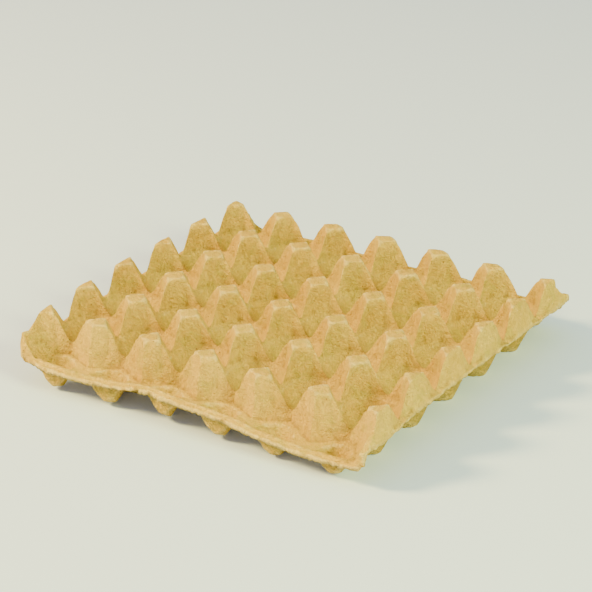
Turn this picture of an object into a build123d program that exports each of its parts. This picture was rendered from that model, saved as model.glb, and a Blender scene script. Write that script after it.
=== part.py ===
from build123d import *
from math import cos, hypot, pi, sin
import os

# Egg tray of moulded pulp: one thin sheet pressed into thirty tapered pockets, with a post
# at every corner of every pocket. X runs along the six-pocket side, Y along the five-pocket
# side and Z is up. The origin is under the middle of the tray, where the pocket floors stand.
# Everything is in millimetres.

# Driving dimensions
COLUMNS, ROWS = 6, 5
PITCH = 47.5                # pocket to pocket, both ways
HEIGHT = 52.0               # floor of a pocket to the flat top of a post
WALL = 2.0                  # thickness of the pulp sheet
SIDES = 12                  # facets round a pocket, with a corner towards each neighbour
SADDLE = 31.0               # ridge between two pockets at its lowest
FLOOR_RADIUS = 9.2
RIDGE_BEVEL, RIDGE_DROP = 2.25, 1.5     # slope that leads from a pocket's wall over the ridge
TOP_RADIUS = 28.15          # pocket's mouth, level with the post tops

# How far a pocket has widened past its ridge radius, at a height over the saddle
NOTCH_FOOT = (1.15, 4.0)
NOTCH_SIDE = (2.85, 16.0)
OVER = (0.6, 2.0)           # how far a hollow's wall runs on past the post tops, out and up

# Long sides, where the sheet runs down to a wide rim over a row of half pockets
FLANGE = 28.75              # ridge line to the edge of the rim
BUTTRESS_TOP = 6.0          # how far a post's outward corner stands past the ridge line
BUTTRESS_LEAN = 0.21        # how fast that corner moves out on the way down
BUTTRESS_FOLD = 0.5         # how fast its two faces fall back beside the corner
LAND = 22.0                 # level of the sheet at the foot of a buttress
RIM_FOLD, RIM_LEVEL = 22.5, 21.0    # where the land turns down into the rim
RIM_EDGE = 18.5             # level of the rim's outer edge
FOOT_OUT, FOOT_RADIUS = 18.0, 4.0   # bottom of a half pocket, out from the ridge line
FOOT_LEVEL = 4.0            # floor of a half pocket, which stands clear of the table
FOOT_WALL = 21.5            # outer wall of a half pocket, at its bottom
BAY_OUT, BAY_RADIUS = 22.0, 16.5    # the half pocket where it opens into the rim

# Short sides, where the sheet ends in a narrow lip
LIP = 5.0                   # ridge line to the edge of the lip
LIP_LEVEL = 29.8
LIP_DROP = 1.6              # how far a lip hollow starts below the saddle
POST_FACE = 0.5             # top of a post's outer face, past the ridge line

# Corner ears, from the top of a corner post out to the corner of the rim
EAR = [(-10.0, HEIGHT), (5.7, HEIGHT), (12.5, 40.0), (22.0, 34.5), (27.2, 31.5), (FLANGE, RIM_EDGE)]
EAR_WIDTH = 6.0

CLEAR = 12.0                # how far the rough blocks run past the finished edges
BELOW = -5.0                # how far they run below the floor

HALF_X = COLUMNS * PITCH / 2
HALF_Y = ROWS * PITCH / 2
POCKET_XS = [(i + 0.5) * PITCH - HALF_X for i in range(COLUMNS)]
POCKET_YS = [(i + 0.5) * PITCH - HALF_Y for i in range(ROWS)]

# Half sections of the hollows, as radius and height from the bottom up. The upper part is the
# same all over the tray, so that each ridge has the same notch on both of its sides.
FLARE = (PITCH / 2 + NOTCH_SIDE[0], SADDLE + NOTCH_SIDE[1])
MOUTH = [
    (PITCH / 2, SADDLE),
    (PITCH / 2 + NOTCH_FOOT[0], SADDLE + NOTCH_FOOT[1]),
    FLARE,
    (TOP_RADIUS, HEIGHT),
    (TOP_RADIUS + OVER[0], HEIGHT + OVER[1]),
]
POCKET = [(FLOOR_RADIUS, WALL), (PITCH / 2 - RIDGE_BEVEL, SADDLE - RIDGE_DROP)] + MOUTH
HALF_POCKET = [(FOOT_RADIUS, FOOT_LEVEL), (BAY_RADIUS, RIM_LEVEL)] + MOUTH
LIP_HOLLOW = [(PITCH / 2 - LIP, SADDLE - LIP_DROP)] + MOUTH


def moved(line, gap):
    """The line moved square to itself by gap, to the right of its way, with sharp corners."""
    sides = []
    for (x0, y0), (x1, y1) in zip(line, line[1:]):
        length = hypot(x1 - x0, y1 - y0)
        out_x, out_y = (y1 - y0) / length * gap, (x0 - x1) / length * gap
        sides.append(((x0 + out_x, y0 + out_y), (x1 - x0, y1 - y0), (x1 + out_x, y1 + out_y)))
    points = [sides[0][0]]
    for (start, way, end), (next_start, next_way, next_end) in zip(sides, sides[1:]):
        cross = way[0] * next_way[1] - way[1] * next_way[0]
        gap_x, gap_y = next_start[0] - start[0], next_start[1] - start[1]
        along = (gap_x * next_way[1] - gap_y * next_way[0]) / cross
        points.append((start[0] + way[0] * along, start[1] + way[1] * along))
    return points + [sides[-1][2]]


def flat_sided(rings):
    """A closed solid with flat facets between rings that have the same number of corners."""
    faces = [Face(Wire.make_polygon(ring)) for ring in (rings[0], rings[-1])]
    for low, high in zip(rings, rings[1:]):
        for i in range(len(low)):
            faces.append(Face(Wire.make_polygon([low[i - 1], low[i], high[i], high[i - 1]])))
    return Solid(Shell(faces))


def hollow(profile, gap, x, y, out=None):
    """A faceted cone over (x, y), grown by gap. out says how far a section's middle is moved.

    On the sheet's lower face the flare near the post tops is left straight.
    """
    if gap:
        profile = [point for point in profile if point != FLARE]
    floor = (0.0, profile[0][1])
    grown = moved([floor] + profile, gap)[1:]
    shifts = [out(z) if out else 0.0 for radius, z in profile]
    turns = [2 * pi * i / SIDES for i in range(SIDES)]
    return flat_sided([
        [(x + radius * cos(turn), y + shift + radius * sin(turn), z) for turn in turns]
        for (radius, z), shift in zip(grown, shifts)
    ])


def along_x(points, start, end):
    """A prism from x = start to x = end over points given as (y, z)."""
    face = make_face(Plane.YZ * Polyline(*points, close=True))
    return Pos(start, 0, 0) * extrude(face, end - start, dir=(1, 0, 0))


def both_ends(part):
    """The part and its mirror image on the other long side of the tray."""
    return [part, mirror(part, about=Plane.XZ)]


def buttress_row(gap):
    """The folded outer faces under a row of posts, on the side towards +Y."""
    drop = hypot(1, BUTTRESS_FOLD, BUTTRESS_LEAN) * gap
    top = HEIGHT - gap
    rings = []
    for z in (BELOW, top):
        corner = HALF_Y + BUTTRESS_TOP + BUTTRESS_LEAN * (HEIGHT - z) - drop
        back = corner - BUTTRESS_FOLD * PITCH / 2
        points = []
        for i in range(COLUMNS + 1):
            x = i * PITCH - HALF_X
            points += [(x - PITCH / 2, back), (x, corner)]
        points.append((HALF_X + PITCH / 2, back))
        inner = HALF_Y - CLEAR
        outline = [(-HALF_X - PITCH / 2, inner)] + points + [(HALF_X + PITCH / 2, inner)]
        rings.append([(x, y, z) for x, y in outline])
    return flat_sided(rings)


def rim(gap):
    """The land at the foot of the buttresses and the rim that slopes down from it."""
    slope = (RIM_EDGE - RIM_LEVEL) / (FLANGE - RIM_FOLD)
    line = [(-CLEAR, LAND), (RIM_FOLD, RIM_LEVEL), (FLANGE + CLEAR, RIM_EDGE + slope * CLEAR)]
    line = [(HALF_Y + out, z) for out, z in moved(line, gap)]
    points = line + [(line[-1][0], BELOW), (line[0][0], BELOW)]
    return along_x(points, -HALF_X - LIP - CLEAR, HALF_X + LIP + CLEAR)


def ears(gap):
    """The two ears at the +Y corners."""
    line = [(HALF_Y + out, z) for out, z in moved(EAR, gap)]
    points = line + [(line[-1][0], BELOW), (line[0][0], BELOW)]
    ear = along_x(points, HALF_X - EAR_WIDTH + gap, HALF_X + LIP + CLEAR)
    return [ear, mirror(ear, about=Plane.YZ)]


def kerb(gap):
    """What stays outside the half pockets on the +Y side, below the fold of the rim."""
    inner = HALF_Y + gap
    points = [
        (inner + FOOT_WALL, BELOW - 1),
        (inner + FOOT_WALL, FOOT_LEVEL),
        (inner + RIM_FOLD, RIM_LEVEL),
        (HALF_Y + FLANGE + CLEAR * 2, RIM_LEVEL),
        (HALF_Y + FLANGE + CLEAR * 2, BELOW - 1),
    ]
    return along_x(points, -HALF_X - CLEAR, HALF_X + CLEAR)


def end_profile(gap):
    """The tray's outline seen along Y, as a prism: the outer faces of the short sides."""
    line = [
        (0, HEIGHT),
        (HALF_X + POST_FACE, HEIGHT),
        (HALF_X + LIP, LIP_LEVEL),
        (HALF_X + LIP + CLEAR, LIP_LEVEL),
    ]
    line = moved(line, gap)
    points = line + [(line[-1][0], BELOW), (0, BELOW)]
    face = make_face(Plane.XZ * Polyline(*points, close=True))
    half = extrude(face, HALF_Y + FLANGE + CLEAR, both=True)
    return half + mirror(half, about=Plane.YZ)


def half_pocket_middle(z):
    """Distance of a half pocket's middle from the ridge line, which grows with its height z."""
    if z < RIM_LEVEL:
        return FOOT_OUT
    return BAY_OUT if z < SADDLE else PITCH / 2


def half_pockets(gap):
    """The hollows of the half pockets along the +Y side."""
    row = [hollow(HALF_POCKET, gap, x, HALF_Y, half_pocket_middle) for x in POCKET_XS]
    outside = kerb(gap)
    return [part - outside for part in row]


def under_sheet(gap):
    """All that lies below the sheet's upper face, once that face is moved down by gap."""
    core = Pos(0, 0, (HEIGHT - gap + BELOW) / 2) * Box(
        2 * (HALF_X + LIP + CLEAR), 2 * (HALF_Y - CLEAR) + 1, HEIGHT - gap - BELOW
    )
    sides = [buttress_row(gap), rim(gap)] + ears(gap)
    block = core + [copy for part in sides for copy in both_ends(part)]
    block = block & end_profile(gap)
    hollows = [hollow(POCKET, gap, x, y) for x in POCKET_XS for y in POCKET_YS]
    for part in half_pockets(gap):
        hollows += both_ends(part)
    for y in POCKET_YS:
        for side in (-1, 1):
            hollows.append(hollow(LIP_HOLLOW, gap, side * (HALF_X + PITCH / 2), y))
    return block - hollows


def egg_tray():
    footprint = Pos(0, 0, HEIGHT / 2) * Box(2 * (HALF_X + LIP), 2 * (HALF_Y + FLANGE), HEIGHT)
    return (under_sheet(0.0) & footprint) - under_sheet(WALL)


os.makedirs("parts", exist_ok=True)
tray = egg_tray()
tray.label = "egg_tray"
export_step(tray, "parts/egg_tray.step")
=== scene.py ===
import math

import bpy
import numpy as np
from mathutils import Matrix, Vector


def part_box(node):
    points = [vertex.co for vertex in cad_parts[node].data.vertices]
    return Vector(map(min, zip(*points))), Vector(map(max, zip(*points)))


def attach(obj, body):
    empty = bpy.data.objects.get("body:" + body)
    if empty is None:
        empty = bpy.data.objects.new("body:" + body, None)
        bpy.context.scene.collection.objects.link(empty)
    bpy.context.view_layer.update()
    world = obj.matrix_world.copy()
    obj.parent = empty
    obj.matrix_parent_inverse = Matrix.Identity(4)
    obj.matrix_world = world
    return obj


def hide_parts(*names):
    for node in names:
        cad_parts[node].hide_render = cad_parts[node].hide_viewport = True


# The egg tray's looks: one moulded sheet of recycled paper pulp, drawn as a closed mesh that
# stands for the CAD tray. Lengths in this script are millimetres until a mesh is made.
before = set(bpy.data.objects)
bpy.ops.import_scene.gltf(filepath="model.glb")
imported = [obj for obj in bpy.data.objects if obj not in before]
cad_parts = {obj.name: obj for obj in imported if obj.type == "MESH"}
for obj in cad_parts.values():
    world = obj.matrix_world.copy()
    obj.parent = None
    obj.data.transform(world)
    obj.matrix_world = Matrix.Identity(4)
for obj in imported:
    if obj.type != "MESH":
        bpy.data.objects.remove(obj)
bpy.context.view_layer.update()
METRE = 1000.0

# Driving dimensions, the same as the CAD's
COLUMNS, ROWS = 6, 5
TRAY_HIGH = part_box("egg_tray")[1] * METRE
HEIGHT = TRAY_HIGH.z
WALL = 2.0                      # thickness of the pulp sheet
LIP = 5.0                       # ridge line to the edge of the lip on a short side
HALF_X = TRAY_HIGH.x - LIP
PITCH = 2 * HALF_X / COLUMNS
CELL = PITCH / 2
HALF_Y = ROWS * CELL
FLANGE = TRAY_HIGH.y - HALF_Y   # ridge line to the edge of the rim on a long side
SIDES = 12                      # soft facets round a pocket
RIDGE_ROUND = 1.6               # width over which two hollows' walls round into each other
UNDER_ROUND = 1.0               # the same on the sheet's lower face
EDGE_ROUND = 0.35               # width over which a hollow's wall rounds into a post top or face
BEND, SHARP_BEND = 0.4, 0.3     # how far to each side the corners of a profile are rounded
INSIDE = -20                    # a place well inside the ridge line, where a profile starts

# Levels of the sheet's upper face
SADDLE = 31.0                   # ridge between two pockets at its lowest
LIP_LEVEL = 29.8
LAND = 22.0                     # foot of a buttress
LAND_ROUND = 5.0                # height over which a buttress rounds into the land
RIM_FOLD, RIM_LEVEL = 22.5, 21.0    # where the land turns down into the rim
RIM_EDGE = 18.5                 # level of the rim's outer edge
FOOT_LEVEL = 4.0                # floor of a half pocket

# The rim's section and the low bead added to it, as (distance past the ridge line, height)
RIM = [(RIM_FOLD, RIM_LEVEL), (27.3, 20.3), (FLANGE, RIM_EDGE), (FLANGE + 9, 5.5)]
RIM_BEAD = [(22.0, 0.0), (23.6, 0.6), (25.2, 0.5), (26.1, -0.8), (27.1, -0.6), (28.6, 0.0)]

# Outer face of a short side, as (distance past the ridge line, height)
POST_FACE = 0.5                 # top of a post's outer face, past the ridge line
END_FACE = [(INSIDE, HEIGHT + 12), (POST_FACE, HEIGHT + 1), (LIP, LIP_LEVEL), (LIP + 9, LIP_LEVEL - 0.8)]
END_ROUND = 1.6                 # height over which that face rounds into a post top

# Half sections of the hollows, as (radius, height). OVER is how a wall runs on past the post tops
MOUTH = [
    (CELL, SADDLE),
    (CELL + 0.45, SADDLE + 0.5),
    (CELL + 1.15, SADDLE + 4),
    (CELL + 2.85, SADDLE + 16),
    (28.15, HEIGHT),
]
OVER = [(30.4, HEIGHT + 8)]
POCKET = [(0.0, WALL), (9.2, WALL), (CELL - 2.25, SADDLE - 1.5)] + MOUTH + OVER
HALF_POCKET = [(0.0, FOOT_LEVEL), (4.0, FOOT_LEVEL), (16.5, RIM_LEVEL)] + MOUTH + OVER
LIP_HOLLOW = [(0.0, SADDLE - 2.8), (CELL - LIP, SADDLE - 1.6)] + MOUTH + OVER
FOOT_WALL = 21.5                # outer wall of a half pocket, at its bottom
HALVINGS = 20                   # steps in the search for the height of a half pocket's wall

# Where a half pocket's middle is, as (height, distance past the ridge line)
FOOT_MIDDLE = [(FOOT_LEVEL, 18.0), (RIM_LEVEL, 22.0), (SADDLE, CELL)]

# Outer faces of the posts on the long sides: two planes that meet in an upright fold. The cap
# rounds the fold into the post top, as (distance past the fold's top, height over the post top)
BUTTRESS_TOP = 6.0              # top of the fold, past the ridge line
BUTTRESS_LEAN = 0.21            # how fast the fold moves out on the way down
BUTTRESS_FOLD = 0.5             # how fast the two faces fall back beside the fold
CAP = [(-30.0, 0.0), (-0.6, 0.0), (-0.3, -1.3), (0.3, -1.8)]

# Corner ears: (distance past the ridge line, height), by the corner's side in X and in Y
EARS = {
    (1, -1): [(5.7, HEIGHT), (12.5, 39.0), (22.0, 31.2), (27.4, 28.2), (FLANGE, RIM_EDGE)],
    (-1, -1): [(6.0, HEIGHT), (7.5, 49.5), (14.4, 42.6), (18.0, 39.3), (27.4, 39.8), (FLANGE, RIM_EDGE)],
    (1, 1): [(1.5, HEIGHT), (4.5, 48.5), (12.0, 40.5), (19.4, 35.5), (27.4, 32.5), (FLANGE, 29.0)],
    (-1, 1): [(6.0, HEIGHT), (12.0, 41.0), (22.0, 35.5), (27.4, 32.0), (FLANGE, RIM_EDGE)],
}
EAR_SLOPE = 1.9                 # how steeply an ear falls towards the tray's middle
EAR_START = 1.0                 # where that fall starts, past the ridge line of the short side
EAR_ROUND = 2.0                 # height over which an ear rounds into its post

# How the tray has warped in drying
LIFT, LIFTED = 0.3, 12.0        # the sheet above the second height has grown by the first
DROOP = 1.9                     # how far the corners hang
POST_LEAN = (0.7, 0.7, 0.35)    # how far a post's top may have moved, each way
LEAN_START, LEAN_FULL = SADDLE + 2, HEIGHT - 4      # heights between which a post leans more and more
LEAN_SEED = 11

# How far the front sags, and how its land and rim are raised besides, as (place along X, amount)
SAG = [(-142, 1.5), (-71, 0.8), (0, 1.5), (71, 4.2), (118, 5.2), (142, 4.0)]
SAG_WIDTH, POST_SAG = 34.0, 0.75    # reach of the sag, and a post top's share of it
FRONT_HANG = [(45, 0.0), (57, -1.4), (93, -4.2), (129, -3.8), (147, -1.5)]
HANG_REACH = 14.0               # distance past the ridge line where that raise is full

# The rims' rise and extra width from warp and wear, by side in Y, as (place along X, amount)
WARP_START, WARP_FULL = 11.0, FLANGE - 2    # distances past the ridge line between which they set in
RIM_RISE = {
    -1: [(-147, 2.2), (-99, 0.0), (-63, 1.8), (-30, 4.6), (9, 3.4), (33, 1.8), (57, 0.0), (147, 0.0)],
    1: [(-147, 1.2), (-80, 2.0), (-20, -1.2), (50, 1.4), (110, -1.0), (147, 1.8)],
}
RIM_WIDTH = {
    -1: [(-147, 0.0), (-66, 0.0), (-54, -1.5), (-44, -3.6), (-30, -3.9), (-22, -1.8), (-12, -0.4),
         (30, -0.3), (62, 0.6), (105, 0.9), (147, 0.0)],
    1: [(-147, 0.0), (-100, -1.2), (-60, 0.2), (0, -0.8), (36, -2.4), (52, -0.4), (147, -0.5)],
}
RISE_BEND, WIDTH_BEND, SAG_BEND = 6.0, 2.0, 12.0    # how far along X these lines are rounded

# What the rim has lost at its corners, by the corner's side in X and in Y
CORNER_TRIM = {(1, -1): 0.4, (-1, -1): 5.0, (1, 1): 7.0, (-1, 1): 3.5}
TRIM_START, TRIM_FULL = -22.0, 4.0      # distances past a short side's ridge line

# Roughness of the sheet and of its edge, as (height, length of its waves, random seed)
LUMPS = [(0.18, 17, 3), (0.10, 6.5, 4)]
FRAY = [(0.30, 9, 21), (0.22, 3.4, 22)]
CURL = [(0.25, 5, 23)]
WAVES = 18                      # sine waves added up for one kind of roughness
WORN_BACK = 0.35                # how much of the edge has worn away
EDGE_BAND = 9.0                 # how far in from its true line a rim's edge may lie

# Torn stretch of the front rim: its middle along X, its reach each way, how much of that fades
# out, and how much is added to the roughness there
TEAR_AT, TEAR_REACH, TEAR_FADE = -38.0, 28.8, 18.0
TORN_FRAY = 1.6

# Mesh density: points along one side of a pocket, out over the flange and out over the lip,
# and for each row of a round patch, from its border inwards, how many rays share a point
SIDE_POINTS = 24
FLANGE_POINTS = 28
LIP_ROWS = 10
UPPER_POCKET, UPPER_FOOT = [1] * 9 + [2] * 9 + [4] * 4, [1] * 12 + [2] * 8 + [4] * 3
LOWER_POCKET, LOWER_FOOT = [1] + [2] * 6 + [4] * 5, [1] * 2 + [2] * 7 + [4] * 3
CROWDING = 9.0                  # how long a bend of one radian counts when points are spread
SAMPLES = 181                   # points at which a section is measured for that


def linear(hex_colour):
    """The hex sRGB colour as linear RGBA."""
    channels = [int(hex_colour[i:i + 2], 16) / 255 for i in (1, 3, 5)]
    return [c / 12.92 if c <= 0.04045 else ((c + 0.055) / 1.055) ** 2.4 for c in channels] + [1.0]


def moved(line, gap):
    """The line moved square to itself by gap, to the right of its way, with sharp corners."""
    sides = []
    for (x0, y0), (x1, y1) in zip(line, line[1:]):
        length = math.hypot(x1 - x0, y1 - y0)
        out_x, out_y = (y1 - y0) / length * gap, (x0 - x1) / length * gap
        sides.append(((x0 + out_x, y0 + out_y), (x1 - x0, y1 - y0), (x1 + out_x, y1 + out_y)))
    points = [sides[0][0]]
    for (start, way, end), (next_start, next_way, next_end) in zip(sides, sides[1:]):
        cross = way[0] * next_way[1] - way[1] * next_way[0]
        gap_x, gap_y = next_start[0] - start[0], next_start[1] - start[1]
        share = (gap_x * next_way[1] - gap_y * next_way[0]) / cross if abs(cross) > 1e-9 else 1.0
        points.append((start[0] + way[0] * share, start[1] + way[1] * share))
    return points + [sides[-1][2]]


def lower(a, b, soft):
    """The lower of two heights or radii, their corner rounded where they differ by under soft."""
    near = np.maximum(soft - np.abs(a - b), 0.0) / soft
    return np.minimum(a, b) - near * near * soft / 4


def higher(a, b, soft):
    """The higher of two heights, their corner filled where they differ by under soft."""
    return -lower(-a, -b, soft)


def along(distance, line, spread=0.0):
    """Height of a line of (distance, height) at a distance, averaged over spread to each side."""
    distances, heights = zip(*line)
    if not spread:
        return np.interp(distance, distances, heights)
    places = (-1, -0.5, 0, 0.5, 1)
    return sum(np.interp(distance + place * spread, distances, heights) for place in places) / len(places)


def smooth_step(share):
    """0 below 0, 1 above 1 and a smooth rise between."""
    share = np.clip(share, 0.0, 1.0)
    return share * share * (3 - 2 * share)


def from_middle(x, y):
    """Distance from a hollow's middle, the same all round a ring with SIDES corners."""
    turn = 2 * math.pi / SIDES
    off_side = np.arctan2(y, x) % turn - turn / 2
    return np.hypot(x, y) * np.cos(off_side) / math.cos(turn / 2)


def half_pocket_level(x, out, gap):
    """Height of a half pocket's wall, x from its middle and out past the ridge line."""
    radii, heights = zip(*moved(HALF_POCKET, gap)[1:])
    low = np.full(x.shape, FOOT_LEVEL - gap)
    high = np.full(x.shape, heights[-1])
    for halving in range(HALVINGS):
        level = (low + high) / 2
        middle = along(level + gap, FOOT_MIDDLE)
        inside = from_middle(x, out - middle) < np.interp(level, heights, radii)
        high = np.where(inside, level, high)
        low = np.where(inside, low, level)
    outer_wall = moved([(FOOT_WALL, FOOT_LEVEL), (RIM_FOLD, RIM_LEVEL)], gap)
    (low_out, low_level), (high_out, high_level) = outer_wall
    kerb = low_level + (out - low_out) * (high_level - low_level) / (high_out - low_out)
    return np.maximum(high, np.minimum(kerb, RIM_LEVEL - gap))


def block_level(x, y, gap):
    """Height of the sheet where no hollow is pressed into it: post tops and the outer faces."""
    out_x, out_y = np.abs(x) - HALF_X, np.abs(y) - HALF_Y
    from_post = np.abs((x + HALF_X + CELL) % PITCH - CELL)
    drop = math.hypot(1, BUTTRESS_FOLD, BUTTRESS_LEAN) * gap
    past_fold = out_y + drop - BUTTRESS_TOP + BUTTRESS_FOLD * from_post
    foot = (HEIGHT * BUTTRESS_LEAN, CAP[-1][1] - HEIGHT)
    level = np.minimum(HEIGHT + along(past_fold, CAP + [foot], SHARP_BEND), HEIGHT - gap)
    land = along(out_y, moved([(INSIDE, LAND)] + RIM, gap), BEND)
    if gap == 0:
        land += along(out_y, RIM_BEAD, SHARP_BEND)
    hang = np.where(y < 0, along(x, FRONT_HANG, RISE_BEND), 0)
    land += hang * smooth_step(out_y / HANG_REACH)
    level = higher(level, land, LAND_ROUND)
    for (side_x, side_y), line in EARS.items():
        ear = along(out_y, moved([(INSIDE, HEIGHT)] + line, gap), BEND)
        fall = EAR_SLOPE * np.maximum(EAR_START + gap - out_x, 0)
        here = (x * side_x > 0) & (y * side_y > 0) & (out_y > INSIDE / 2)
        level = np.where(here, higher(level, ear - fall, EAR_ROUND), level)
    return lower(level, along(out_x, moved(END_FACE, gap)), END_ROUND)


def pocket_radius(level, gap):
    """How far from a pocket's middle its wall has this height."""
    radii, heights = zip(*moved(POCKET, gap)[1:])
    return np.interp(level, heights, radii)


def hollows_near(x, y, gap):
    """The four hollows nearest to each point, each as the pocket radius that has its height there.

    Past a corner of the tray there is no hollow, so the radius there is that of OVER.
    """
    column = np.clip(np.floor((x + HALF_X) / PITCH), 0, COLUMNS - 1)
    row = np.clip(np.floor((y + HALF_Y) / PITCH), 0, ROWS - 1)
    middle_x, middle_y = (column + 0.5) * PITCH - HALF_X, (row + 0.5) * PITCH - HALF_Y
    next_x = middle_x + PITCH * np.where(x > middle_x, 1, -1)
    next_y = middle_y + PITCH * np.where(y > middle_y, 1, -1)
    lip_hollow = moved(LIP_HOLLOW, gap)
    radii = []
    for at_x in (middle_x, next_x):
        for at_y in (middle_y, next_y):
            radius = from_middle(x - at_x, y - at_y)
            past_x, past_y = np.abs(at_x) > HALF_X, np.abs(at_y) > HALF_Y
            radius[past_x] = pocket_radius(along(radius[past_x], lip_hollow, BEND), gap)
            wall = half_pocket_level((x - at_x)[past_y], np.abs(y)[past_y] - HALF_Y, gap)
            radius[past_y] = pocket_radius(wall, gap)
            radius[past_x & past_y] = OVER[0][0]
            radii.append(radius)
    return radii


def sheet_level(x, y, gap=0.0):
    """Height of the sheet's upper face, or with a gap that of the face as far below it.

    Hollows meet as radii, so that a ridge is as round at its notch as beside a post top. What
    the rounding takes off a ridge, a quarter of its width, is put back all over.
    """
    x, y = np.asarray(x, float), np.asarray(y, float)
    hollows = hollows_near(x, y, gap)
    radius = hollows[0]
    for hollow in hollows[1:]:
        radius = lower(radius, hollow, UNDER_ROUND if gap else RIDGE_ROUND)
    radius = radius + RIDGE_ROUND / 4
    radius = lower(radius, pocket_radius(block_level(x, y, gap), gap), EDGE_ROUND)
    return along(radius, moved(POCKET, gap), BEND)


def spaced(start, end, count, gap=0.0):
    """Shares of the way from start to end that spread points over the sheet's section there.

    start and end are arrays of points. The answer has a row of count + 1 shares for each, an
    even length apart but crowded where the section bends.
    """
    share = np.linspace(0, 1, SAMPLES)
    points = start[:, None, :] + (end - start)[:, None, :] * share[None, :, None]
    rise = np.diff(sheet_level(points[..., 0], points[..., 1], gap), axis=1)
    run = np.sqrt((np.diff(points, axis=1) ** 2).sum(-1))
    bend = np.abs(np.diff(np.arctan2(rise, run), axis=1)) * CROWDING / 2
    steps = np.hypot(rise, run)
    steps[:, 1:] += bend
    steps[:, :-1] += bend
    length = np.concatenate([np.zeros((len(start), 1)), np.cumsum(steps, axis=1)], axis=1)
    wanted = np.linspace(0, 1, count + 1)
    return np.array([np.interp(wanted * row[-1], row, share) for row in length])


class Sheet:
    """Points and faces of one face of the sheet, gathered patch by patch."""

    def __init__(self, gap):
        self.gap = gap
        self.points = []
        self.faces = []

    def add(self, places):
        """Adds the points over these places and returns their numbers, in the same layout."""
        places = np.asarray(places, float)
        first = len(self.points)
        flat = places.reshape(-1, 2)
        level = sheet_level(flat[:, 0], flat[:, 1], self.gap)
        self.points.extend(np.column_stack([flat, level]).tolist())
        return np.arange(first, first + len(flat)).reshape(places.shape[:-1])

    def strip(self, start, end, rows):
        """A patch of quads between two rows of places."""
        shares = spaced(start, end, rows, self.gap)
        grid = start[:, None, :] + (end - start)[:, None, :] * shares[..., None]
        numbers = self.add(grid)
        for a, b in zip(numbers, numbers[1:]):
            for i in range(rows):
                self.faces.append((a[i], a[i + 1], b[i + 1], b[i]))

    def cell(self, middle, border, sharing):
        """A round patch from its border inwards. sharing says how many rays share each row's points."""
        border = np.asarray(border, float)
        middle = np.broadcast_to(np.asarray(middle, float), border.shape)
        shares = spaced(border, middle, len(sharing), self.gap)
        rays = len(border)
        last, last_step = None, 1
        for row, step in enumerate(sharing):
            used = np.arange(0, rays, step)
            places = border[used] + (middle[used] - border[used]) * shares[used, row][:, None]
            numbers = dict(zip(used, self.add(places)))
            if last is not None:
                self.ring(last, last_step, numbers, step, rays)
            last, last_step = numbers, step
        centre = self.add(middle[:1])[0]
        for k in range(0, rays, last_step):
            self.faces.append((last[k], last[(k + last_step) % rays], centre))

    def ring(self, outer, outer_step, inner, inner_step, rays):
        """Faces between two rows of a round patch."""
        for k in range(0, rays, inner_step):
            after = (k + inner_step) % rays
            if inner_step == outer_step:
                self.faces.append((outer[k], outer[after], inner[after], inner[k]))
                continue
            half = k + outer_step
            self.faces.append((outer[k], outer[half], inner[k]))
            self.faces.append((outer[half], inner[after], inner[k]))
            self.faces.append((outer[half], outer[after], inner[after]))


def rectangle(xs, left_ys, right_ys):
    """Places along a rectangle's four sides in turn, anticlockwise, from rising coordinates."""
    return (
        [(x, left_ys[0]) for x in xs[:-1]]
        + [(xs[-1], y) for y in right_ys[:-1]]
        + [(x, left_ys[-1]) for x in xs[:0:-1]]
        + [(xs[0], y) for y in left_ys[:0:-1]]
    )


def ridge_places():
    """Distances along one side of a pocket, from -CELL to CELL, spread over its ridge."""
    start, end = np.array([[0.0, CELL]]), np.array([[PITCH, CELL]])
    return -CELL + PITCH * spaced(start, end, SIDE_POINTS)[0]


def flange_places(x, side):
    """Distances past the ridge line on one side in Y, spread over the flange at this x."""
    start, end = np.array([[x, side * HALF_Y]]), np.array([[x, side * (HALF_Y + FLANGE)]])
    return FLANGE * spaced(start, end, FLANGE_POINTS)[0]


def face_of_sheet(gap, pocket_sharing, foot_sharing):
    """Points and faces of the sheet's upper face, or with a gap of its lower one."""
    sheet = Sheet(gap)
    ridge = ridge_places()
    middles_x = [(column + 0.5) * PITCH - HALF_X for column in range(COLUMNS)]
    middles_y = [(row + 0.5) * PITCH - HALF_Y for row in range(ROWS)]
    for x in middles_x:
        for y in middles_y:
            sheet.cell((x, y), rectangle(x + ridge, y + ridge, y + ridge), pocket_sharing)
        for side in (-1, 1):
            flanges = [HALF_Y + flange_places(x + end, side) for end in (-CELL, CELL)]
            border = rectangle(x + ridge, *flanges)
            border = [(px, side * py) for px, py in border[::side]]
            sheet.cell((x, side * (HALF_Y + FOOT_MIDDLE[0][1])), border, foot_sharing)
    pockets = [y + ridge[:-1] for y in middles_y]
    for side in (-1, 1):
        front, back = [HALF_Y + flange_places(side * HALF_X, end) for end in (-1, 1)]
        order = np.concatenate([-front[:0:-1]] + pockets + [back])[::side]
        start = np.column_stack([np.full(len(order), side * HALF_X), order])
        end = np.column_stack([np.full(len(order), side * (HALF_X + LIP)), order])
        sheet.strip(start, end, LIP_ROWS)
    return merged(sheet)


def merged(sheet):
    """The sheet's points and faces with the points that patches share made one."""
    points = np.array(sheet.points)
    keys = np.round(points[:, :2] * METRE).astype(np.int64)
    used, first, number = np.unique(keys, axis=0, return_index=True, return_inverse=True)
    number = number.ravel()
    faces = [tuple(int(number[i]) for i in face) for face in sheet.faces]
    return points[first], faces


def edges_round(face):
    """The face's edges in turn, each as two points."""
    return zip(face, face[1:] + face[:1])


def border_loop(faces):
    """Edges that only one face has, in that face's direction."""
    edges = {edge for face in faces for edge in edges_round(face)}
    return sorted((a, b) for a, b in edges if (b, a) not in edges)


def round_the_edge(points, loop):
    """The border's points in order round the tray, so that both faces of the sheet agree."""
    return sorted((a for a, b in loop), key=lambda i: math.atan2(points[i][1], points[i][0]))


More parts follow.
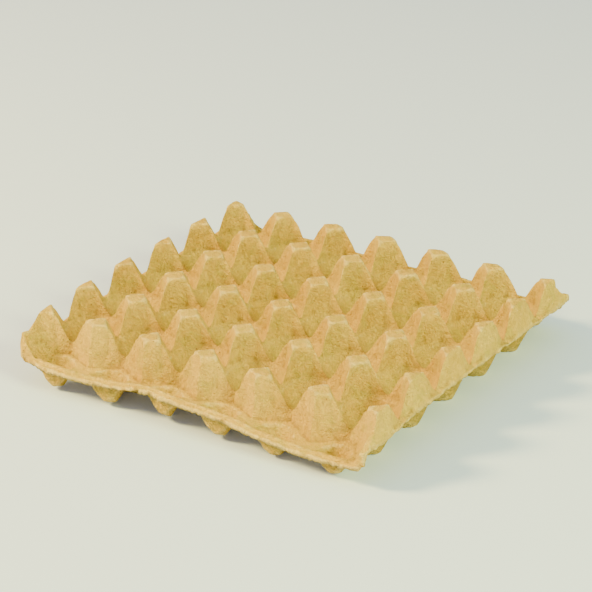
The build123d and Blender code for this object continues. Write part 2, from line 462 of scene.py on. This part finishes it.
def closed_sheet():
    """The whole sheet: points, faces, the points of its edge, and how many are on its upper face."""
    top_points, top_faces = face_of_sheet(0.0, UPPER_POCKET, UPPER_FOOT)
    low_points, low_faces = face_of_sheet(WALL, LOWER_POCKET, LOWER_FOOT)
    count = len(top_points)
    faces = top_faces + [tuple(i + count for i in face[::-1]) for face in low_faces]
    loop = border_loop(top_faces)
    top_edge = round_the_edge(top_points, loop)
    low_edge = [i + count for i in round_the_edge(low_points, border_loop(low_faces))]
    below = dict(zip(top_edge, low_edge))
    for a, b in loop:
        faces.append((b, a, below[a], below[b]))
    return np.vstack([top_points, low_points]), faces, np.array(top_edge + low_edge), count


class Links:
    """Which points of a mesh are joined by an edge."""

    def __init__(self, faces, count):
        pairs = {edge for face in faces for edge in edges_round(face)}
        pairs |= {(b, a) for a, b in pairs}
        self.start, self.end = np.array(sorted(pairs)).T
        self.count = count
        self.number = np.bincount(self.start, minlength=count)

    def mean(self, values):
        """The mean of each point's neighbours."""
        columns = values.reshape(self.count, -1).T
        sums = [np.bincount(self.start, column[self.end], self.count) for column in columns]
        return (np.array(sums) / self.number).T.reshape(values.shape)

    def spacing(self, points):
        """The mean distance from each point to its neighbours."""
        lengths = np.linalg.norm(points[self.start] - points[self.end], axis=1)
        return np.bincount(self.start, lengths, self.count) / self.number

    def smoothed(self, values, rounds):
        """The values, each moved halfway to the mean of its neighbours a few times."""
        for turn in range(rounds):
            values = (values + self.mean(values)) / 2
        return values


def waves(points, length, seed):
    """Smooth random heights around 0, about 1 high, with waves about as long as length."""
    rng = np.random.default_rng(seed)
    total = np.zeros(len(points))
    for turn in range(WAVES):
        way = rng.normal(size=3)
        way = way / np.linalg.norm(way) * 2 * math.pi / length * rng.uniform(0.6, 1.5)
        total += np.sin(points @ way + rng.uniform(0, 2 * math.pi))
    return total / math.sqrt(WAVES / 2)


def roughness(points, kinds):
    """Kinds of waves added up, each given as (height, length, seed)."""
    return sum(height * waves(points, length, seed) for height, length, seed in kinds)


def lean_posts(points):
    """Moves each post's top a little, as posts stand a little differently after drying."""
    rng = np.random.default_rng(LEAN_SEED)
    shift = rng.uniform(-1, 1, (COLUMNS + 1, ROWS + 1, 3)) * POST_LEAN
    post_x = np.clip(np.round((points[:, 0] + HALF_X) / PITCH), 0, COLUMNS).astype(int)
    post_y = np.clip(np.round((points[:, 1] + HALF_Y) / PITCH), 0, ROWS).astype(int)
    share = smooth_step((points[:, 2] - LEAN_START) / (LEAN_FULL - LEAN_START))
    points += shift[post_x, post_y] * share[:, None]


def warp_rims(points):
    """Waves in the two rims, their worn widths and the rounded corners."""
    x, out_y = points[:, 0].copy(), np.abs(points[:, 1]) - HALF_Y
    side_y = np.sign(points[:, 1])
    far = smooth_step((out_y - WARP_START) / (WARP_FULL - WARP_START))
    at_corner = smooth_step((np.abs(x) - HALF_X - TRIM_START) / (TRIM_FULL - TRIM_START))
    for side, rise in RIM_RISE.items():
        here = side_y == side
        points[:, 2] += np.where(here, along(x, rise, RISE_BEND) * far, 0)
        points[:, 1] += np.where(here, side * along(x, RIM_WIDTH[side], WIDTH_BEND) * far, 0)
    for (side_x, side), trim in CORNER_TRIM.items():
        here = (x * side_x > 0) & (side_y == side) & (out_y > 0)
        points[:, 1] -= np.where(here, side * trim * at_corner * out_y / FLANGE, 0)


def settle(points):
    """The tray's corners hang a little, its front sags, and its pockets stay on the table."""
    points[:, 2] += LIFT * np.clip(points[:, 2] / LIFTED, 0, 1)
    at_corner = (points[:, 0] / HALF_X) ** 2 * (points[:, 1] / HALF_Y) ** 2
    points[:, 2] -= DROOP * at_corner * np.clip(points[:, 2], 0, HEIGHT) / HEIGHT
    near_front = smooth_step(1 - np.abs(points[:, 1] + HALF_Y) / SAG_WIDTH)
    raised = np.interp(points[:, 2], [0, SADDLE, HEIGHT], [0, 1, POST_SAG])
    points[:, 2] -= along(points[:, 0], SAG, SAG_BEND) * near_front * raised


def fray_edge(points, edge):
    """A deckled edge: the sheet's border wanders in and out, most where the rim is torn."""
    at = points[edge]
    near_tear = smooth_step((TEAR_REACH - np.abs(at[:, 0] - TEAR_AT)) / TEAR_FADE)
    torn = np.where(at[:, 1] < 0, near_tear, 0)
    wander = roughness(at, FRAY) * (1 + TORN_FRAY * torn)
    on_long_side = np.abs(at[:, 1]) - HALF_Y > FLANGE - EDGE_BAND
    way = np.where(on_long_side[:, None], [0.0, 1.0], [1.0, 0.0]) * np.sign(at[:, :2])
    points[edge, :2] += way * (wander - WORN_BACK)[:, None]
    points[edge, 2] += roughness(at, CURL) * (1 + torn)


def pulp_sheet():
    """The tray as one piece, with marks for the material.

    crest is over a half on convex edges and under it in creases, ragged is 1 at the sheet's edge
    and underside is 1 on its lower face.
    """
    points, faces, edge, upper_count = closed_sheet()
    links = Links(faces, len(points))
    points = links.smoothed(points, 1)
    lean_posts(points)
    warp_rims(points)
    settle(points)
    fray_edge(points, edge)
    mesh = bpy.data.meshes.new("pulp_sheet")
    mesh.from_pydata((points / METRE).tolist(), [], faces)
    mesh.update()
    normals = np.zeros(len(points) * 3)
    mesh.vertices.foreach_get("normal", normals)
    normals = normals.reshape(-1, 3)
    points += normals * roughness(points, LUMPS)[:, None]
    points[:, 2] = np.maximum(points[:, 2], 0.0)
    mesh.vertices.foreach_set("co", (points / METRE).ravel())
    mesh.polygons.foreach_set("use_smooth", [True] * len(mesh.polygons))
    bend = ((points - links.mean(points)) * normals).sum(1) / links.spacing(points)
    crest = links.smoothed(bend, 1)
    ragged = np.zeros(len(points))
    ragged[edge] = 1.0
    under = np.zeros(len(points))
    under[upper_count:] = 1.0
    marks = {
        "crest": np.clip(0.5 + 2 * crest, 0, 1),
        "ragged": links.smoothed(ragged, 1),
        "underside": links.smoothed(under, 1),
    }
    for name, values in marks.items():
        mesh.attributes.new(name, "FLOAT", "POINT").data.foreach_set("value", values.astype(np.float32))
    mesh.update()
    piece = bpy.data.objects.new("pulp_sheet", mesh)
    bpy.context.scene.collection.objects.link(piece)
    return piece


# Sockets of the Mix node where it mixes colours
SHARE, FIRST, SECOND, MIXED = 0, 6, 7, 2


def node(tree, kind, links=(), **settings):
    """Adds a node. links are (its input, the value or socket); settings are its properties."""
    made = tree.nodes.new(kind)
    for name, value in settings.items():
        setattr(made, name, value)
    for socket, value in links:
        if isinstance(value, bpy.types.NodeSocket):
            tree.links.new(value, made.inputs[socket])
        else:
            made.inputs[socket].default_value = value
    return made


def moulded_recycled_pulp_board():
    """Recycled paper pulp, drawn wet onto a wire screen and dried.

    It gives the eye a dull tan face with soft clouds of tone, short fibres that lie every way,
    a few flecks of old print and a fluffy grain, paler where an edge is torn. Convex edges are
    paler too, partly from wear and partly as a painted highlight; creases and the underside's
    tufts are darker with painted shade.
    A noise's detail is how many finer layers it has.
    """
    material = bpy.data.materials.new("moulded_recycled_pulp_board")
    material.use_nodes = True
    tree = material.node_tree
    shader = tree.nodes["Principled BSDF"]
    place = node(tree, "ShaderNodeTexCoord").outputs["Object"]
    crest, ragged, underside = [
        node(tree, "ShaderNodeAttribute", attribute_name=name).outputs["Fac"]
        for name in ("crest", "ragged", "underside")
    ]

    # Unevenness of the pulp, as (width in mm, detail). Clouds of tone are where it lay thicker
    widths = {
        "clouds": (35, 3),
        "patches": (14, 4),
        "clumps": (5, 4),
        "knots": (3.6, 4),
        "tufts": (3.5, 5),
        "grain": (1.3, 3),
    }
    noise = {}
    for name, (width, detail) in widths.items():
        links = [("Vector", place), ("Scale", METRE / width), ("Detail", detail)]
        noise[name] = node(tree, "ShaderNodeTexNoise", links).outputs["Fac"]

    # Fibres 7 mm long lie in three directions and bend by a few mm. They are 0.1 mm wide in real
    # pulp, drawn 0.6 mm wide here so that they show
    bent = node(tree, "ShaderNodeTexNoise", [("Vector", place), ("Scale", METRE / 9), ("Detail", 1)])
    links = [(0, bent.outputs["Color"]), ("Scale", 4 / METRE)]
    bend = node(tree, "ShaderNodeVectorMath", links, operation="SCALE").outputs[0]
    bent_place = node(tree, "ShaderNodeVectorMath", [(0, place), (1, bend)]).outputs[0]
    fibres = 0.0
    for turn in ((0.3, 0.2, 0.5), (1.2, 0.9, -0.4), (-0.6, 1.9, 1.3)):
        size = (7 / METRE, 0.6 / METRE, 0.6 / METRE)
        links = [("Vector", bent_place), ("Rotation", turn), ("Scale", size)]
        stretched = node(tree, "ShaderNodeMapping", links, vector_type="TEXTURE").outputs["Vector"]
        links = [("Vector", stretched), ("Scale", 1.0), ("Detail", 1)]
        strand = node(tree, "ShaderNodeTexNoise", links).outputs["Fac"]
        links = [("Value", strand), ("From Min", 0.60), ("From Max", 0.70)]
        strand = node(tree, "ShaderNodeMapRange", links, interpolation_type="SMOOTHSTEP").outputs["Result"]
        fibres = node(tree, "ShaderNodeMath", [(0, fibres), (1, strand)], operation="MAXIMUM").outputs[0]

    # Flecks of old print, up to about 1 mm wide, in a third of cells 6 mm wide
    cells = node(tree, "ShaderNodeTexVoronoi", [("Vector", place), ("Scale", METRE / 6)])
    pick = node(tree, "ShaderNodeSeparateColor", [("Color", cells.outputs["Color"])])
    links = [(SHARE, pick.outputs["Green"]), (FIRST, linear("#5e4226")), (SECOND, linear("#9a4f2e"))]
    print_colour = node(tree, "ShaderNodeMix", links, data_type="RGBA").outputs[MIXED]

    # Where each mark shows: not at all at the first value, in full at the second
    spans = {
        "clouds": (noise["clouds"], 0.35, 0.65),
        "patches": (noise["patches"], 0.48, 0.64),
        "clumps": (noise["clumps"], 0.40, 0.65),
        "tufts": (noise["tufts"], 0.40, 0.62),
        # crease_shade: painted shade, darker where the sheet folds inwards
        "crease_shade": (crest, 0.44, 0.18),
        # Convex edges paler: partly wear, partly a painted highlight
        "wear_and_highlight": (crest, 0.56, 0.78),
        "near_fleck": (cells.outputs["Distance"], 0.11, 0.05),
        "has_fleck": (pick.outputs["Red"], 0.66, 0.68),
    }
    marks = {}
    for name, (value, none, full) in spans.items():
        links = [("Value", value), ("From Min", none), ("From Max", full)]
        span = node(tree, "ShaderNodeMapRange", links, interpolation_type="SMOOTHSTEP")
        marks[name] = span.outputs["Result"]
    links = [(0, marks["near_fleck"]), (1, marks["has_fleck"])]
    flecks = node(tree, "ShaderNodeMath", links, operation="MULTIPLY").outputs[0]
    # Painted shade on the underside, laid in its rough tufts
    links = [(0, underside), (1, marks["tufts"])]
    under_tufts_shade = node(tree, "ShaderNodeMath", links, operation="MULTIPLY").outputs[0]

    # Tints over the board's tan, as (where, strength, colour): convex edges are paler, partly wear and
    # partly a painted highlight; creases get painted shade, the rough underside painted shade in its
    # tufts, and the worn edge of the sheet shows clean fibre
    tints = [
        (marks["clouds"], 1.0, linear("#dab243")),
        (marks["patches"], 0.60, linear("#c0a436")),
        (marks["clumps"], 0.50, linear("#e2b54c")),
        (fibres, 0.28, linear("#ecc972")),
        (flecks, 0.75, print_colour),
        # Painted shade in the creases
        (marks["crease_shade"], 0.50, linear("#8f6a24")),
        # Painted highlight and wear on convex edges
        (marks["wear_and_highlight"], 0.65, linear("#f0cf78")),
        (ragged, 0.15, linear("#ecd09a")),
        # Painted shade on the underside's tufts
        (under_tufts_shade, 0.40, linear("#a08a3c")),
    ]
    colour = linear("#cfa132")
    for where, strength, tint in tints:
        share = node(tree, "ShaderNodeMath", [(0, where), (1, strength)], operation="MULTIPLY").outputs[0]
        links = [(SHARE, share), (FIRST, colour), (SECOND, tint)]
        colour = node(tree, "ShaderNodeMix", links, data_type="RGBA").outputs[MIXED]
    tree.links.new(colour, shader.inputs["Base Color"])

    # Knots, grain and fibres stand up from the face, and on the underside more than twice as high
    height = noise["knots"]
    for relief, share in ((noise["grain"], 0.6), (fibres, 0.3)):
        links = [(0, relief), (1, share), (2, height)]
        height = node(tree, "ShaderNodeMath", links, operation="MULTIPLY_ADD").outputs[0]
    links = [(0, underside), (1, 1.2), (2, 1.0)]
    under_share = node(tree, "ShaderNodeMath", links, operation="MULTIPLY_ADD").outputs[0]
    height = node(tree, "ShaderNodeMath", [(0, height), (1, under_share)], operation="MULTIPLY").outputs[0]
    links = [("Height", height), ("Strength", 1.0), ("Distance", 2.2 / METRE)]
    tree.links.new(node(tree, "ShaderNodeBump", links).outputs["Normal"], shader.inputs["Normal"])
    shader.inputs["Roughness"].default_value = 0.93
    shader.inputs["Specular IOR Level"].default_value = 0.25
    return material


FLOOR_WIDTH = 8                 # metres


def matt_white_paper_sweep():
    """Seamless studio paper: flat, dull and nearly white, a little blue against the warm lamps."""
    material = bpy.data.materials.new("matt_white_paper_sweep")
    material.use_nodes = True
    shader = material.node_tree.nodes["Principled BSDF"]
    shader.inputs["Base Color"].default_value = linear("#dbe8ff")
    shader.inputs["Roughness"].default_value = 0.9
    shader.inputs["Specular IOR Level"].default_value = 0.1
    return material


def soft_lamp(name, at, size, power, colour):
    """A square lamp that looks at the tray's middle, its place and size in metres."""
    lamp = bpy.data.lights.new(name, "AREA")
    lamp.shape = "SQUARE"
    lamp.size = size
    lamp.energy = power
    lamp.color = linear(colour)[:3]
    holder = bpy.data.objects.new(name, lamp)
    holder.location = at
    holder.rotation_euler = (-Vector(at)).to_track_quat("-Z", "Y").to_euler()
    bpy.context.scene.collection.objects.link(holder)


def studio():
    """Pale floor, soft lamps and a pale room."""
    bpy.ops.mesh.primitive_plane_add(size=FLOOR_WIDTH)
    floor = bpy.context.object
    floor.name = "floor"
    floor.data.materials.append(matt_white_paper_sweep())
    room = bpy.data.worlds.new("studio_room")
    room.use_nodes = True
    room.node_tree.nodes["Background"].inputs["Color"].default_value = linear("#dde8ff")
    room.node_tree.nodes["Background"].inputs["Strength"].default_value = 0.7
    bpy.context.scene.world = room
    soft_lamp("key_lamp", (-1.55, -1.05, 1.35), 0.5, 136, "#ffe68c")
    soft_lamp("fill_lamp", (1.6, -0.3, 1.0), 0.7, 60, "#f2ffa0")
    soft_lamp("front_lamp", (0.4, -1.9, 0.45), 0.9, 14, "#ffe8a8")


# The photograph's camera, found from the posts and ridges that it shows: its angles in degrees,
# the point it looks at and how far that is, and its focal length in pixels
AZIMUTH, ELEVATION, ROLL = 33.975, 24.464, -0.677
DISTANCE = 1773.8
AIM = (4.2, -11.6, HEIGHT + 2.7)
FOCAL_PIXELS, PHOTO_WIDTH = 2455.0, 592
SENSOR = 36.0                   # width of the sensor


def photo_camera():
    """The camera at the photograph's viewing angle."""
    lens = bpy.data.cameras.new("photo_camera")
    lens.sensor_width = SENSOR
    lens.lens = FOCAL_PIXELS / PHOTO_WIDTH * SENSOR
    camera = bpy.data.objects.new("photo_camera", lens)
    turn, rise, roll = math.radians(AZIMUTH), math.radians(ELEVATION), math.radians(ROLL)
    back = Vector((math.sin(turn) * math.cos(rise), -math.cos(turn) * math.cos(rise), math.sin(rise)))
    right = Vector((math.cos(turn), math.sin(turn), 0))
    up = back.cross(right)
    across = math.cos(roll) * right + math.sin(roll) * up
    upward = math.cos(roll) * up - math.sin(roll) * right
    place = Matrix((across, upward, back)).transposed().to_4x4()
    place.translation = (Vector(AIM) + back * DISTANCE) / METRE
    camera.matrix_world = place
    bpy.context.scene.collection.objects.link(camera)
    bpy.context.scene.camera = camera


tray = pulp_sheet()
tray.data.materials.append(moulded_recycled_pulp_board())
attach(tray, "root")
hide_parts("egg_tray")
studio()
photo_camera()
bpy.context.view_layer.update()
